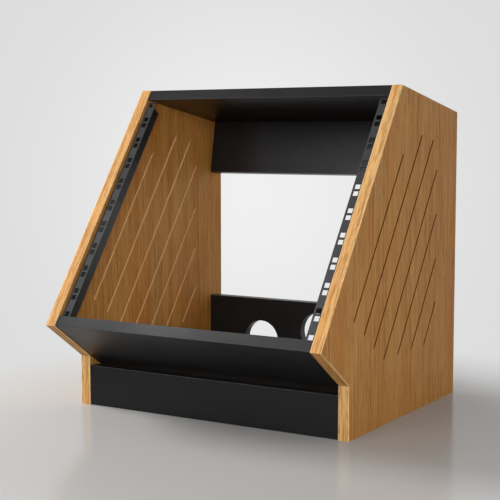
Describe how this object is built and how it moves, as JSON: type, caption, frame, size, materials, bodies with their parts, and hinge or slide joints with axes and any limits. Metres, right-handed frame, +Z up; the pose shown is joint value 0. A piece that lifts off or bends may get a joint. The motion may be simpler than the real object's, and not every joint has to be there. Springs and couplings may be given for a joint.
{
  "type": "desktop rack case",
  "caption": "Open slanted desktop case for 19-inch rack equipment, with oak sides cut by slanted slots, black cross panels, cable holes and perforated steel rack strips.",
  "frame": {"origin": "on the floor plane, in the middle of the case's width and of its depth", "axes": "+Z up, -Y towards the slanted front where the equipment goes in, +X to the right as seen from the front"},
  "size_m": [0.523, 0.52, 0.5508],
  "materials": {
    "oak_veneer": "satin lacquer",
    "oak_lipping": "satin lacquer",
    "black_board": "matte",
    "black_edging": "satin",
    "strip_paint": "satin powder coat",
    "black_screw": "matte",
    "beech_dowel": "raw",
    "zinc_bolt": "zinc plated",
    "black_cam": "matte"
  },
  "bodies": {
    "root": {"chin_lipping_left": "oak_lipping", "chin_lipping_right": "oak_lipping", "chin_panel": "black_board", "chin_panel_cam_bolts": "zinc_bolt", "chin_panel_cam_locks": "black_cam", "chin_panel_dowels": "beech_dowel", "chin_panel_front_band": "black_edging", "chin_panel_inner_band": "black_edging", "foot_lipping_left": "oak_lipping", "foot_lipping_right": "oak_lipping", "front_lipping_left": "oak_lipping", "front_lipping_right": "oak_lipping", "lower_rear_rail": "black_board", "lower_rear_rail_cam_bolts": "zinc_bolt", "lower_rear_rail_cam_locks": "black_cam", "lower_rear_rail_dowels": "beech_dowel", "lower_rear_rail_top_band": "black_edging", "plinth": "black_board", "plinth_cam_bolts": "zinc_bolt", "plinth_cam_locks": "black_cam", "plinth_dowels": "beech_dowel", "plinth_top_band": "black_edging", "rack_strip_left": "strip_paint", "rack_strip_right": "strip_paint", "rack_strip_screws_left": "black_screw", "rack_strip_screws_right": "black_screw", "rear_lipping_left": "oak_lipping", "rear_lipping_right": "oak_lipping", "side_panel_left": "oak_veneer", "side_panel_right": "oak_veneer", "top_lipping_left": "oak_lipping", "top_lipping_right": "oak_lipping", "top_panel": "black_board", "top_panel_cam_bolts": "zinc_bolt", "top_panel_cam_locks": "black_cam", "top_panel_dowels": "beech_dowel", "top_panel_front_band": "black_edging", "top_panel_rear_band": "black_edging", "upper_rear_rail": "black_board", "upper_rear_rail_cam_bolts": "zinc_bolt", "upper_rear_rail_cam_locks": "black_cam", "upper_rear_rail_dowels": "beech_dowel", "upper_rear_rail_lower_band": "black_edging"}
  },
  "joints": []
}
